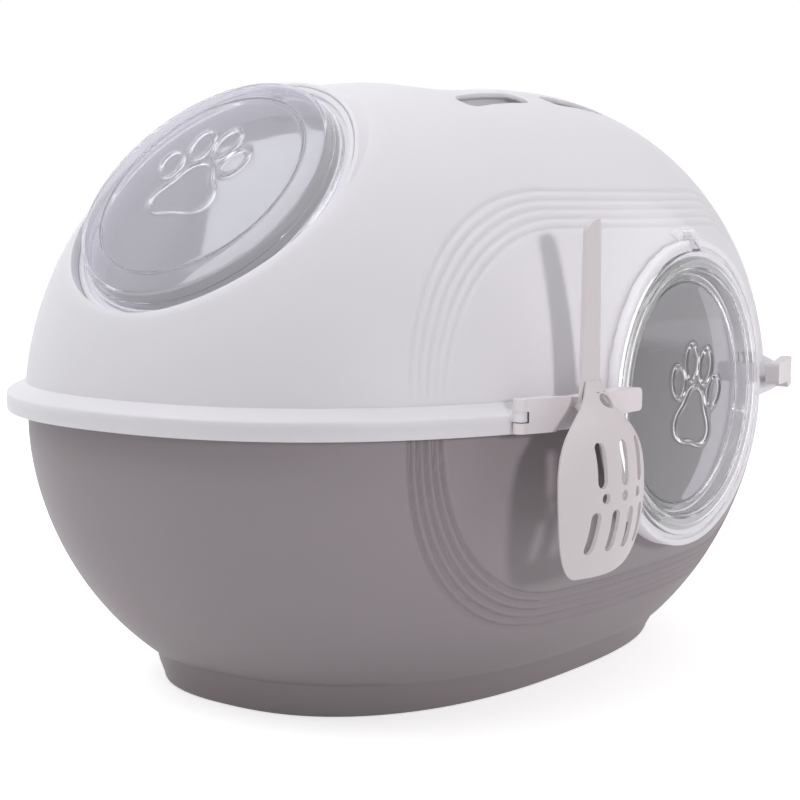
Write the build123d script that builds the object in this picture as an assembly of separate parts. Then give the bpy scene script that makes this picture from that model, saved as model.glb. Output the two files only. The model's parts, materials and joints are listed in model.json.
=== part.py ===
"""Cat litter box with a hood: a deep egg-shaped tray, a domed hood with a round
entry and a round roof window, two clear lids, two swinging latches, a folding
carry handle and a scoop that hangs on the left latch.

Millimetres. +X is the long way and points to the right seen from the entry side,
+Y points from the entry to the back and +Z is up. The origin is the centre of
the tray's flat foot, on the floor.
"""
from build123d import *
from math import cos, sin, pi, radians, sqrt, copysign, degrees, atan2
import os

os.makedirs("parts", exist_ok=True)

# ---------------------------------------------------------------- the two shells
wall = 3.0                    # wall of the tray and of the hood
outline_points = 32           # points on each superellipse outline
shell_sections = 11           # outlines between the bottom and the top of a shell

tray_half_length = 323.1      # outer half length of the tray at its widest
tray_half_width = 227.1       # outer half width of the tray at its widest
tray_power = 2.41             # squareness of its outline, 2 being an ellipse
tray_widest_z = 194.7         # height of its widest outline
tray_depth = 226.8            # how far below that its rounded side would close
tray_curve = (1.816, 2.724)   # the two powers of the side's curve
tray_floor = 4.0              # thickness of the floor

foot_half_length = 226.2      # flat foot, on the floor
foot_half_width = 145.7
foot_power = 2.46
foot_height = 25.0
foot_flare = (3.0, 11.0)      # how much wider its top is, each side, along X and Y
foot_edge = 4.0               # rounding of its bottom edge

flange_rise = 18.4            # top of the tray's flange above the tray's widest outline
flange_thickness = 3.0
flange_gap = 0.7              # between its edge and the inside of the hood's skirt

hood_half_length = 326.5
hood_half_width = 233.6
hood_power = 2.33
hood_rise = 10.0              # foot of the hood's skirt above the tray's widest outline
hood_height = 235.6           # from there to the closed top of the dome
hood_curve = (1.918, 2.619)
hood_top_share = 0.985        # the dome is modelled up to this share of its height
rest_gap = 0.3                # between faces that rest on each other
beyond = 60.0                 # how far cutting pieces run past what they cut

skirt_half_length = 337.9     # band round the foot of the hood, over the flange
skirt_half_width = 245.6
skirt_power = 2.34
skirt_wall = 2.6
skirt_height = 13.0
ledge_rise = 7.0              # sloping ledge from the band in to the dome
ledge_run = 14.0

# -------------------------------------------------------------- the round seats
# A seat's centre lies in the middle of its lid's flat rim, on the outer face.
entry_inset = 4.4             # entry seat behind the front of the skirt
entry_above = 2.5             # and above the tray's flange
window_inset = 34.9           # window seat inside the end of the dome at its height
window_above = 147.3          # and above the dome's widest outline
window_tilt = 42.6            # how far its face leans back, degrees

lid_radius = 100.0
lid_thickness = 3.2
panel_thickness = 2.6
panel_crown = 2.0             # how far the middle of the panel stands out
panel_draft = 1.5             # how much wider the panel's side is at the rim
entry_panel = (84.0, -8.0)    # radius of the panel, and its edge in front of the rim
window_panel = (95.5, 13.0)
line_radius = 78.0            # groove on the panel
line_width = 1.5
line_depth = 0.7
lid_edge_round = 1.2

frame_radius = 107.5
frame_lip_width = 4.5         # raised lip round the lid
frame_lip_drop = 1.2          # how far the lip's face lies behind the lid's face
frame_depth = 12.0            # from the lid's face to the frame's back
bore_radius = 96.0
tube_wall = 2.5
entry_tube_depth = 36.2       # from the lid's face to the inner end of the tube
window_tube_depth = 20.0
seat_gap = 0.15               # round the frame in its socket
socket_wall = 3.0
catch_slot = (13.0, 8.2)      # slot in the entry tube for the lid's catch: depth, height
catch_slot_z = 18.6           # above the centre of the entry
catch_slot_cut = 4.0

fairing_start = 7.2           # where the fairing meets the entry frame, behind the lid's face
fairing_end = 90.0            # where it ends, inside the dome
fairing_slope = 1.5           # depth gained for each millimetre of radius

hinge_radius_at = 111.5       # hinge axis, measured from the centre of the lid
hinge_depth = 10.0            # and behind the lid's face
barrel_radius = 3.6
lid_pin_radius = 1.8
running_gap = 0.08            # radial, where a piece turns on its pin
fixed_gap = 0.02              # radial, where a pin is held
stem_width = 12.0
ear_width = 5.0
side_gap = 1.0                # between the stem and each ear
clearance = 0.4               # between pieces that pass each other

# -------------------------------------------------------------------- the crown
dish_half = (95.0, 85.0)      # sunk dish in the top of the hood
dish_corner = 30.0
dish_depth = 27.3             # below the closed top of the dome
shoulder_slot = (76.0, 19.0)  # two slots in the front shoulder: length, width
shoulder_slot_at = (53.0, -104.5)

handle_span = 84.0            # half the distance between the middles of the arms
handle_arm = 62.0             # from the hinge line to the middle of the grip
handle_width = 12.0
handle_thickness = 9.0
handle_corner = 20.0
handle_above = 8.5            # its hinge line above the dish's floor
handle_barrel = 5.5
handle_pin_radius = 2.5
handle_boss_radius = 7.0

# ------------------------------------------------------------------ the latches
# Heights are above the foot of the skirt, and stand-offs in front of the skirt's face.
latch_pivot_x = 189.5         # of the right latch; the left one mirrors it
latch_pivot_off = 5.3
latch_barrel = 4.6
latch_outer = ((170.0, 10.2), (150.0, 10.8), (125.0, 13.9), (101.5, 18.5))   # x, stand-off
latch_tip_thickness = 11.0
latch_hug_to = 150.0          # from the pivot to here it follows the band
latch_gap = 0.5
latch_foot = (0.9, 22.9)
latch_arm_root = (6.3, 21.9)
latch_arm_tip = (10.0, 25.4)
latch_foot_end = (168.0, 162.0)
latch_corner = 3.0
latch_pin_radius = 1.8
lug = (7.9, 14.7)             # the hood's knuckle between the latch's two knuckles
lug_neck = 5.0
lug_inset = 0.2               # how much thinner it is than the latch's knuckles

# -------------------------------------------------------------------- the scoop
# Heights are above or below the peg of the left latch, which carries it.
scoop_x = -150.5
scoop_off = 19.6              # middle plane of its handle in front of the skirt's face
scoop_thickness = 6.0         # of the handle's edges, back face to ridge plane
scoop_top = 120.0
scoop_top_width = 15.0        # the handle widens from its round top to the neck
scoop_neck = 5.0
scoop_neck_width = 22.0
scoop_ridge = 5.5             # how far the ridge of the handle stands out from the middle plane
ridge_round = 2.0
scoop_skin = 2.4
scoop_edge = 1.2
# height, half width, how far the middle and the edge stand out from the middle plane
blade_outline = (
    (19.0, 9.0, 4.5, 2.0),
    (7.0, 16.0, 10.0, 4.5),
    (-8.0, 33.0, 19.0, 6.5),
    (-27.0, 48.5, 25.0, 8.5),
    (-53.0, 51.5, 26.0, 9.5),
    (-77.0, 49.0, 23.0, 9.0),
    (-93.0, 42.5, 17.0, 7.5),
    (-101.0, 35.0, 13.0, 6.5),
    (-104.5, 26.0, 11.0, 5.8),
)
upper_slot_x = (-22.0, 0.0, 22.0)
upper_slot = (-45.5, -17.0)
lower_slot_x = (-27.0, -9.0, 9.0, 27.0)
lower_slot = (-87.0, -60.0)
slot_width = 8.0
slot_slant = 0.15             # lean of the lower slots, degrees for each millimetre from the middle
hole_x = (-19.0, 0.0, 19.0)
hole_below = 52.0
hole_radius = 3.4
neck_hole = (14.0, 8.0)       # oval hole below the peg: length, height
neck_hole_at = (2.5, 6.0)
neck_hole_lean = -20.0
peg_above = 14.3              # above the foot of the skirt
peg_size = (8.0, 5.0)         # along X, and through its slope
peg_length = 17.0
peg_behind = 5.0              # its root behind the middle plane of the scoop
peg_slope = 45.0              # above the level
peg_gap = 0.3


def superellipse(half_x, half_y, power, z):
    """A closed outline, |x/half_x|^power + |y/half_y|^power = 1, at height z."""
    points = []
    for k in range(outline_points):
        angle = 2 * pi * k / outline_points
        x = copysign(abs(cos(angle)) ** (2 / power), cos(angle))
        y = copysign(abs(sin(angle)) ** (2 / power), sin(angle))
        points.append((half_x * x, half_y * y, z))
    return Wire([Spline(*points, periodic=True)])


def prism(half_x, half_y, power, low, high):
    """A straight column between two heights with a superellipse for its plan."""
    return extrude(Face(superellipse(half_x, half_y, power, low)), high - low, dir=(0, 0, 1))


def curve_share(u, curve):
    """Share of the widest outline that is left at the share u of the height."""
    return (1 - u ** curve[0]) ** (1 / curve[1])


def rounded_shell(half_x, half_y, power, z, height, curve, shares):
    """A solid body through outlines at the given shares of a height (negative goes down)."""
    outlines = []
    for u in shares:
        left = curve_share(u, curve)
        outlines.append(superellipse(half_x * left, half_y * left, power, z + height * u))
    if height < 0:
        outlines.reverse()
    return Solid.make_loft(outlines)


def spread(first, last):
    """Shares of a height from first to last, closer together where the side turns in."""
    start = first / last
    steps = [start + (1 - start) * k / shell_sections for k in range(shell_sections + 1)]
    return [last * sin(pi / 2 * step) if start == 0 else last * step for step in steps]


def turned(points):
    """A solid turned about Z from a closed outline of (radius, height) points."""
    outline = Polyline(*[(r, 0, h) for r, h in points], close=True)
    return revolve(make_face(outline), Axis.Z)


def disc(radius, top, bottom):
    """A round column about Z from the height top down to the height bottom."""
    column = Cylinder(radius, top - bottom, align=(Align.CENTER, Align.CENTER, Align.MIN))
    return Pos(0, 0, bottom) * column


def closed_face(*lines):
    """The flat face inside lines that meet end to end."""
    return make_face([edge for line in lines for edge in line.edges()])


def block(low, high):
    """A box between two corners."""
    size = [b - a for a, b in zip(low, high)]
    return Pos(*low) * Box(*size, align=(Align.MIN, Align.MIN, Align.MIN))


def cross_bar(radius, y, z, half_length):
    """A round bar along X, centred on x = 0."""
    return Pos(0, y, z) * Rot(0, 90, 0) * Cylinder(radius, 2 * half_length)


def skirt_front(x, gap):
    """How far forward the skirt's front face is at x, with a gap added to it."""
    share = abs(x) / (skirt_half_length + gap)
    return -(skirt_half_width + gap) * (1 - share ** skirt_power) ** (1 / skirt_power)


flange_top_z = tray_widest_z + flange_rise
hood_widest_z = tray_widest_z + hood_rise
skirt_top_z = hood_widest_z + skirt_height
dish_floor_z = hood_widest_z + hood_height - dish_depth
handle_z = dish_floor_z + handle_above
latch_pivot_y = skirt_front(latch_pivot_x, 0) - latch_pivot_off
scoop_y = skirt_front(scoop_x, 0) - scoop_off
peg_z = hood_widest_z + peg_above

# Each seat has its own frame: Z points out of the lid, Y to the lid's hinge.
lean = radians(window_tilt)
window_dome = hood_half_length * curve_share(window_above / hood_height, hood_curve)
entry_centre = (0, entry_inset - skirt_half_width, flange_top_z + entry_above)
window_centre = (window_inset - window_dome, 0, hood_widest_z + window_above)
entry_seat = Plane(origin=entry_centre, x_dir=(1, 0, 0), z_dir=(0, -1, 0)).location
window_seat = Plane(
    origin=window_centre, x_dir=(0, -1, 0), z_dir=(-cos(lean), 0, sin(lean))
).location
tube_radius = bore_radius + tube_wall
seat_depth = lid_thickness + rest_gap
socket_floor = frame_depth + seat_gap
barrel_room = hinge_depth + barrel_radius + clearance
ear_inner = stem_width / 2 + side_gap
ear_outer = ear_inner + ear_width
skirt_inner_length = skirt_half_length - skirt_wall
skirt_inner_width = skirt_half_width - skirt_wall


def cap_arc(radius, base, start, end):
    """The arc of a round cap, seated at the height base, from one radius to another."""
    sphere = (radius ** 2 + panel_crown ** 2) / (2 * panel_crown)
    low = base + panel_crown - sphere
    ends = [(r, 0, low + sqrt(sphere ** 2 - r ** 2)) for r in (start, (start + end) / 2, end)]
    return ThreePointArc(*ends)


def lid(panel):
    """A clear lid: a flat rim, a step to its crowned panel, and a hinge stem."""
    radius, rise = panel
    under = radius - copysign(panel_thickness, rise)
    inner = cap_arc(radius, rise, 0, line_radius)
    outer = cap_arc(radius, rise, line_radius + line_width, radius)
    floor = (outer @ 0).Z - line_depth
    below = cap_arc(under, rise - panel_thickness, under, 0)
    profile = [
        inner,
        Polyline(inner @ 1, (line_radius, 0, floor), (line_radius + line_width, 0, floor), outer @ 0),
        outer,
        Polyline(
            outer @ 1,
            (radius + panel_draft, 0, 0),
            (lid_radius, 0, 0),
            (lid_radius, 0, -lid_thickness),
            (under + panel_draft, 0, -lid_thickness),
            below @ 0,
        ),
        below,
        Line(below @ 1, inner @ 0),
    ]
    body = revolve(closed_face(*profile), Axis.Z)
    rim = body.edges().filter_by(GeomType.CIRCLE).filter_by(
        lambda edge: abs(edge.radius - lid_radius) < 0.01 and edge.center().Z > -0.01
    )
    body = fillet(rim, lid_edge_round)
    half = stem_width / 2
    tab = block((-half, lid_radius - 2, -lid_thickness), (half, lid_radius + 1.5, 0))
    run = hinge_radius_at - lid_radius
    drop = hinge_depth - lid_thickness / 2
    bar = Box(stem_width, sqrt(run ** 2 + drop ** 2), lid_thickness, align=(
        Align.CENTER, Align.MIN, Align.CENTER))
    bar = Pos(0, lid_radius, -lid_thickness / 2) * Rot(-degrees(atan2(drop, run)), 0, 0) * bar
    barrel = cross_bar(barrel_radius, hinge_radius_at, -hinge_depth, half)
    bore = cross_bar(lid_pin_radius + running_gap, hinge_radius_at, -hinge_depth, stem_width)
    return body + tab + bar + barrel - bore


def lid_frame(tube_depth):
    """The ring that a lid closes on, with its tube inwards and the ears of the hinge."""
    lip = frame_radius - frame_lip_width
    body = turned([
        (bore_radius, -seat_depth),
        (lip, -seat_depth),
        (lip, -frame_lip_drop),
        (frame_radius, -frame_lip_drop),
        (frame_radius, -frame_depth),
        (tube_radius, -frame_depth),
        (tube_radius, -tube_depth),
        (bore_radius, -tube_depth),
    ])
    edge = body.edges().filter_by(GeomType.CIRCLE).filter_by(
        lambda e: abs(e.center().Z + frame_lip_drop) < 0.01
    )
    body = fillet(edge, frame_lip_drop)
    body -= block(
        (-ear_inner, tube_radius, -frame_depth - 1),
        (ear_inner, hinge_radius_at, 1),
    )
    for side in (-1, 1):
        middle = side * (ear_inner + ear_width / 2)
        ear = cross_bar(barrel_radius, hinge_radius_at, -hinge_depth, ear_width / 2)
        root = block(
            (-ear_width / 2, lip + 1, -frame_depth),
            (ear_width / 2, hinge_radius_at, -hinge_depth + barrel_radius - 0.6),
        )
        body += Pos(middle, 0, 0) * (ear + root)
    return body - cross_bar(
        lid_pin_radius + fixed_gap, hinge_radius_at, -hinge_depth, ear_outer + 1)


def lid_pin():
    """The pin through the stem of a lid and the two ears of its frame."""
    return cross_bar(lid_pin_radius, hinge_radius_at, -hinge_depth, ear_outer)


def hinge_pocket():
    """Room in the hood round the barrel and the ears of a lid's hinge."""
    return block(
        (-ear_outer - side_gap, frame_radius - 3, -barrel_room),
        (ear_outer + side_gap, hinge_radius_at + barrel_radius + 2, beyond),
    )


def tray():
    """The tray with its flat foot, its flange and the half-round notch for the entry."""
    end = (tray_widest_z - foot_height) / tray_depth
    shares = spread(0, end)
    body = rounded_shell(
        tray_half_length, tray_half_width, tray_power, tray_widest_z, -tray_depth,
        tray_curve, shares)
    body += prism(tray_half_length, tray_half_width, tray_power, tray_widest_z, flange_top_z)
    body += prism(
        skirt_inner_length - flange_gap, skirt_inner_width - flange_gap, skirt_power,
        flange_top_z - flange_thickness, flange_top_z)

    def foot(inset, z, flare):
        return superellipse(
            foot_half_length - inset + flare * foot_flare[0],
            foot_half_width - inset + flare * foot_flare[1],
            foot_power, z)

    body += Solid.make_loft([
        foot(foot_edge, 0, 0),
        foot(foot_edge * 0.3, foot_edge * 0.3, 0),
        foot(0, foot_edge, 0),
        foot(0, foot_height + 2, 1),
    ], ruled=True)
    hollow = rounded_shell(
        tray_half_length - wall, tray_half_width - wall, tray_power, tray_widest_z,
        wall - tray_depth, tray_curve, shares)
    hollow += prism(
        tray_half_length - wall, tray_half_width - wall, tray_power,
        tray_widest_z, flange_top_z + 1)
    hollow += Solid.make_loft([
        foot(wall + foot_edge, tray_floor, 0),
        foot(wall, tray_floor + foot_edge, 0),
        foot(wall, foot_height + 4, 1),
    ], ruled=True)
    body -= hollow
    body -= entry_seat * disc(tube_radius + 2 * clearance, beyond, -beyond)
    ring_room = frame_radius + seat_gap + socket_wall + clearance
    ring_back = socket_floor + socket_wall + clearance / 2
    return body - entry_seat * disc(ring_room, beyond, -ring_back)


def fairing(depth):
    """A cone that widens inwards from the entry frame, kept above the ledge."""
    cone = entry_seat * turned([
        (0, -depth),
        (frame_radius, -depth),
        (frame_radius + (fairing_end - depth) / fairing_slope, -fairing_end),
        (0, -fairing_end),
    ])
    ledge_top = skirt_top_z + ledge_rise / 2
    reach = 2 * skirt_half_length
    return cone - block((-reach, -reach, -reach), (reach, reach, ledge_top))


def dish(grow):
    """The sunk dish in the crown, or the outside of its wall."""
    plan = RectangleRounded(
        2 * (dish_half[0] + grow), 2 * (dish_half[1] + grow), dish_corner + grow)
    return Pos(0, 0, dish_floor_z - grow) * extrude(plan, beyond)


def hood():
    """The hood with its dome, skirt, ledge, two sockets, dish, slots and latch lugs."""
    bottom = (flange_top_z + rest_gap - hood_widest_z) / hood_height
    outside = rounded_shell(
        hood_half_length, hood_half_width, hood_power, hood_widest_z, hood_height,
        hood_curve, [bottom] + spread(0, hood_top_share)[1:])
    inside = rounded_shell(
        hood_half_length - wall, hood_half_width - wall, hood_power, hood_widest_z,
        hood_height - wall, hood_curve, spread(0, hood_top_share))
    outer_form = outside + fairing(fairing_start)
    inner_form = inside + fairing(fairing_start + wall * sqrt(1 + fairing_slope ** 2))
    socket = disc(frame_radius + seat_gap + socket_wall, beyond, -socket_floor - socket_wall)
    inner_form -= entry_seat * socket
    inner_form -= window_seat * socket
    inner_form -= dish(wall)

    low = flange_top_z + rest_gap + 2
    rim = prism(skirt_half_length, skirt_half_width, skirt_power, hood_widest_z, skirt_top_z)
    rim += Solid.make_loft([
        superellipse(skirt_half_length, skirt_half_width, skirt_power, skirt_top_z),
        superellipse(
            skirt_half_length - ledge_run, skirt_half_width - ledge_run, skirt_power,
            skirt_top_z + ledge_rise),
    ], ruled=True)
    rim -= prism(skirt_inner_length, skirt_inner_width, skirt_power, hood_widest_z - 1, low)
    rim -= Solid.make_loft([
        superellipse(skirt_inner_length, skirt_inner_width, skirt_power, low),
        superellipse(
            skirt_inner_length - ledge_run, skirt_inner_width - ledge_run, skirt_power,
            low + ledge_rise),
    ], ruled=True)

    body = outer_form - inner_form + (rim - inside)
    pocket = disc(frame_radius + seat_gap, beyond, -socket_floor)
    bore = disc(tube_radius + clearance, beyond, -beyond)
    for seat in (entry_seat, window_seat):
        body -= seat * (pocket + bore)
        body -= seat * hinge_pocket()
    body -= dish(0)
    for side in (-1, 1):
        slot = SlotOverall(*shoulder_slot)
        slot = Pos(side * shoulder_slot_at[0], shoulder_slot_at[1], dish_floor_z) * slot
        body -= extrude(slot, beyond, both=True)
        boss = Rot(0, 90, 0) * Cylinder(handle_boss_radius, dish_half[0] - boss_start())
        middle = (dish_half[0] + boss_start()) / 2
        body += Pos(side * middle, 0, handle_z) * boss
        body -= Pos(side * dish_half[0], 0, handle_z) * Rot(0, 90, 0) * Cylinder(
            handle_pin_radius + fixed_gap, 4 * wall + 4)
        body += mirror_to(side, latch_lug())
    return body


def boss_start():
    """Where the dish's bosses begin, beside the arms of the handle."""
    return handle_span + handle_width / 2 + clearance


def mirror_to(side, piece):
    """The right-hand piece itself, or its mirror image for the left side."""
    return piece if side > 0 else mirror(piece, about=Plane.YZ)


def latch_lug():
    """The hood's knuckle for the right latch, joined to the skirt."""
    x, y = latch_pivot_x, latch_pivot_y
    low, high = [hood_widest_z + height for height in lug]
    knuckle = Pos(x, y, low) * Cylinder(
        latch_barrel - lug_inset, high - low, align=(Align.CENTER, Align.CENTER, Align.MIN))
    neck = block(
        (x - lug_neck / 2, y, low), (x + lug_neck / 2, y + latch_pivot_off + skirt_wall / 2, high))
    bore = Pos(x, y, low) * Cylinder(latch_pin_radius + fixed_gap, 4 * (high - low))
    return knuckle + neck - bore


def latch():
    """The right latch: a bar that follows the skirt and stands off it at its free end."""
    x, y = latch_pivot_x, latch_pivot_y
    front = [(at, skirt_front(at, 0) - off) for at, off in latch_outer]
    tip_x, tip_y = front[-1]
    outer = Spline((x, y - latch_barrel), *front)
    hug = [latch_hug_to + (x - latch_hug_to) * share for share in (0, 0.3, 0.6, 0.8)]
    inner = Spline(
        (tip_x, tip_y + latch_tip_thickness),
        *[(at, skirt_front(at, latch_gap)) for at in hug],
        (x, y + latch_barrel - lug_inset),
    )
    plan = closed_face(outer, inner, Line(outer @ 1, inner @ 0), Line(inner @ 1, outer @ 0))
    foot_low, foot_high = [hood_widest_z + height for height in latch_foot]
    root_low, root_high = [hood_widest_z + height for height in latch_arm_root]
    tip_low, tip_high = [hood_widest_z + height for height in latch_arm_tip]
    bar = extrude(plan, 2 * foot_high)
    side = Polyline(
        (x + 1, 0, foot_low),
        (latch_foot_end[0], 0, foot_low),
        (latch_foot_end[1], 0, root_low),
        (latch_hug_to, 0, root_low),
        (tip_x, 0, tip_low),
        (tip_x, 0, tip_high),
        (latch_hug_to, 0, root_high),
        (latch_foot_end[0], 0, foot_high),
        (x + 1, 0, foot_high),
        close=True,
    )
    face = make_face(side)
    tips = face.vertices().filter_by(lambda v: abs(v.X - tip_x) < 0.01)
    face = fillet(tips, latch_corner)
    body = bar & extrude(face, 2 * skirt_half_width, both=True)
    barrel = Pos(x, y, foot_low) * Cylinder(
        latch_barrel, foot_high - foot_low, align=(Align.CENTER, Align.CENTER, Align.MIN))
    body += barrel
    room = clearance / 2
    body -= Pos(x, y, hood_widest_z + lug[0] - room) * Cylinder(
        latch_barrel + 1, lug[1] - lug[0] + 2 * room,
        align=(Align.CENTER, Align.CENTER, Align.MIN))
    return body - Pos(x, y, foot_low) * Cylinder(
        latch_pin_radius + running_gap, 4 * (foot_high - foot_low))


def latch_pin():
    """The right latch's upright pin."""
    low, high = latch_foot
    return Pos(latch_pivot_x, latch_pivot_y, hood_widest_z + low) * Cylinder(
        latch_pin_radius, high - low, align=(Align.CENTER, Align.CENTER, Align.MIN))


def peg(grow):
    """The sloping peg on the left latch, or the slot that it passes through."""
    body = Box(
        peg_size[0] + 2 * grow, peg_length + 8 * grow, peg_size[1] + 2 * grow,
        align=(Align.CENTER, Align.MAX, Align.CENTER))
    root = scoop_y + scoop_thickness / 2 + peg_behind
    return Pos(scoop_x, root, peg_z) * Rot(-peg_slope, 0, 0) * body


def crescent(height, half_width, middle, edge):
    """One thin, bowed section of the scoop's blade."""
    z = peg_z + height

    def arc(shrink):
        front = scoop_y - middle + shrink
        side = scoop_y - edge + shrink
        half = half_width - shrink
        return ThreePointArc(
            (scoop_x - half, side, z), (scoop_x, front, z), (scoop_x + half, side, z))

    outer = arc(0)
    inner = arc(scoop_skin)
    return Wire([outer, Line(outer @ 1, inner @ 1), inner, Line(inner @ 0, outer @ 0)])


def scoop():
    """The scoop: a flat handle, a bowed blade with slots and holes, a slot for the peg."""
    blade = Solid.make_loft([crescent(*row) for row in blade_outline])
    neck = scoop_neck_width / 2
    top = scoop_top_width / 2
    start = scoop_top - top
    plan = [
        Polyline((-top, start), (-neck, scoop_neck), (neck, scoop_neck), (top, start)),
        ThreePointArc((top, start), (0, scoop_top), (-top, start)),
    ]
    back = -scoop_thickness / 2
    ridge = make_face(Polyline(
        (-neck, back), (neck, back), (neck, 0), (0, scoop_ridge), (-neck, 0), close=True))
    bar = Pos(0, scoop_top, 0) * Rot(90, 0, 0) * extrude(ridge, scoop_top - scoop_neck)
    crest = bar.edges().filter_by(lambda edge: edge.center().Z > scoop_ridge - 0.01)
    grip = fillet(crest, ridge_round) & extrude(closed_face(*plan), 2 * scoop_ridge, both=True)
    rear = grip.edges().filter_by(lambda edge: edge.bounding_box().max.Z < back + 0.01)
    body = at_scoop(0, 0) * fillet(rear, scoop_edge) + blade
    for x in upper_slot_x:
        body -= blade_slot(x, *upper_slot, 0)
    for x in lower_slot_x:
        body -= blade_slot(x, *lower_slot, slot_slant)
    hole = SlotOverall(*neck_hole, rotation=neck_hole_lean)
    body -= at_scoop(*neck_hole_at) * extrude(hole, beyond, both=True)
    for x in hole_x:
        body -= at_scoop(x, -hole_below) * Cylinder(hole_radius, 2 * beyond)
    return body - peg(peg_gap)


def at_scoop(x, height):
    """A place on the scoop's middle plane, with Z pointing out to its front."""
    return Pos(scoop_x + x, scoop_y, peg_z + height) * Rot(90, 0, 0)


def blade_slot(x, low, high, slant):
    """A cutter for one slot of the blade, which leans outwards with x."""
    slot = SlotOverall(high - low, slot_width, rotation=90 + slant * x)
    return at_scoop(x, (low + high) / 2) * extrude(slot, beyond, both=True)


def carry_handle():
    """The folding handle, lying forward in the dish."""
    span = handle_span
    path = FilletPolyline(
        (-span, 0, handle_z),
        (-span, -handle_arm, handle_z),
        (span, -handle_arm, handle_z),
        (span, 0, handle_z),
        radius=handle_corner,
    )
    section = Plane(origin=path @ 0, z_dir=path % 0, x_dir=(1, 0, 0)) * RectangleRounded(
        handle_width, handle_thickness, handle_thickness / 3)
    body = sweep(section, path)
    for side in (-1, 1):
        at = Pos(side * span, 0, handle_z) * Rot(0, 90, 0)
        body += at * Cylinder(handle_barrel, handle_width)
        body -= at * Cylinder(handle_pin_radius + running_gap, handle_width + 2)
    return body


def handle_pin():
    """The right-hand pin of the carry handle, held in the dish's boss."""
    inner = handle_span - handle_width / 2 + 1
    outer = dish_half[0] + wall - 0.5
    return Pos((inner + outer) / 2, 0, handle_z) * Rot(0, 90, 0) * Cylinder(
        handle_pin_radius, outer - inner)


nodes = {
    "tray": tray(),
    "hood": hood(),
    "entry_frame": entry_seat * lid_frame(entry_tube_depth),
    "window_frame": window_seat * lid_frame(window_tube_depth),
    "entry_lid": entry_seat * lid(entry_panel),
    "window_lid": window_seat * lid(window_panel),
    "entry_lid_pin": entry_seat * lid_pin(),
    "window_lid_pin": window_seat * lid_pin(),
    "latch_right": latch(),
    "latch_left": mirror(latch(), about=Plane.YZ) + peg(0),
    "latch_right_pin": latch_pin(),
    "latch_left_pin": mirror(latch_pin(), about=Plane.YZ),
    "scoop": scoop(),
    "carry_handle": carry_handle(),
    "handle_pin_right": handle_pin(),
    "handle_pin_left": mirror(handle_pin(), about=Plane.YZ),
}
side_of_tube = sqrt(bore_radius ** 2 - catch_slot_z ** 2)
catch = block(
    (side_of_tube - 2, catch_slot_z - catch_slot[1] / 2, -seat_depth - 0.5 - catch_slot[0]),
    (side_of_tube + catch_slot_cut, catch_slot_z + catch_slot[1] / 2, -seat_depth - 0.5),
)
nodes["entry_frame"] -= entry_seat * catch

for name, piece in nodes.items():
    export_step(piece, f"parts/{name}.step")
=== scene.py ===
# %% [markdown]
# # A hooded cat litter box, dressed from its CAD frame
# The CAD frame holds the solids, the joints and the real sizes. This lesson adds the looks: skins that
# are smooth enough for gloss, the moulded ribs round the entry, clear lids with a paw print, plastics
# with a fine grain, and a plain studio. Everything is in metres, in the frame's own axes.

# %% Load the frame
import json
from math import cos, sin, pi, radians, sqrt, exp, hypot, copysign, atan2, inf

import bmesh
import bpy
from mathutils import Matrix, Vector


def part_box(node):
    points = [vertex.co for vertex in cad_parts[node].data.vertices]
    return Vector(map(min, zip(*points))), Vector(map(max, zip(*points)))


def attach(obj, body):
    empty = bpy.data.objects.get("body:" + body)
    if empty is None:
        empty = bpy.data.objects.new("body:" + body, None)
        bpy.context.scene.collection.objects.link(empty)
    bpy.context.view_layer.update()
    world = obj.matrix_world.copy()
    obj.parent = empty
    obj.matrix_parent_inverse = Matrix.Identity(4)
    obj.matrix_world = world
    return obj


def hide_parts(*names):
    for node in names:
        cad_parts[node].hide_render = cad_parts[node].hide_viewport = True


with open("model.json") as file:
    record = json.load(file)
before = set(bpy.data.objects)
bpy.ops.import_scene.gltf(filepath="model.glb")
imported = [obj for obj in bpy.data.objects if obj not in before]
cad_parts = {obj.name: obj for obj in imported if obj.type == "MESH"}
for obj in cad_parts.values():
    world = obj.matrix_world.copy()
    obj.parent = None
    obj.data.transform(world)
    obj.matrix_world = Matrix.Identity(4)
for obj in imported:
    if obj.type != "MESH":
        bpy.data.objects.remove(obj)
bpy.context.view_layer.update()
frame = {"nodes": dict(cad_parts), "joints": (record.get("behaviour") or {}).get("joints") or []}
joints = {joint["name"]: joint for joint in frame["joints"]}
nodes = frame["nodes"]
MM = 0.001
print("CAD nodes:", len(nodes), "joints:", sorted(joints))

# %% [markdown]
# ## Where the two round seats are
# Both lids are the same moulding. Its hinge line lies a fixed way above the middle of the lid and
# behind its face, so the middle follows from the joint. A seat is a matrix whose columns are the
# directions right, up and out of the lid, and whose place is the middle of the lid's face.

# %% Seats from the hinges
HINGE_RISE = 111.5 * MM
HINGE_DEPTH = 10.0 * MM
WINDOW_TILT = radians(42.6)


def seat(joint_name, out):
    """The matrix of a lid's seat, from its hinge and its outward direction."""
    out = Vector(out).normalized()
    right = -Vector(joints[joint_name]["axis"]).normalized()
    up = out.cross(right)
    middle = Vector(joints[joint_name]["pos_m"]) - up * HINGE_RISE + out * HINGE_DEPTH
    matrix = Matrix((right, up, out)).transposed().to_4x4()
    matrix.translation = middle
    return matrix


entry_seat = seat("entry_lid_swing", (0, -1, 0))
window_seat = seat("window_lid_swing", (-cos(WINDOW_TILT), 0, sin(WINDOW_TILT)))
print("entry middle", entry_seat.translation, "window middle", window_seat.translation)

# %% [markdown]
# ## Small helpers
# A finished piece is one mesh at the origin. `as_object` makes that from a bmesh, and `soften` says
# which of its edges look sharp. `cut` applies a Boolean at once, so that no modifier is left on the
# piece, and `tidy` merges what the cuts leave double.

# %% Helpers for meshes
SHARP_ANGLE = 35              # degrees at which two faces meet in a sharp edge
TOUCH = 1e-6                  # metres within which two points count as one


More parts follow.
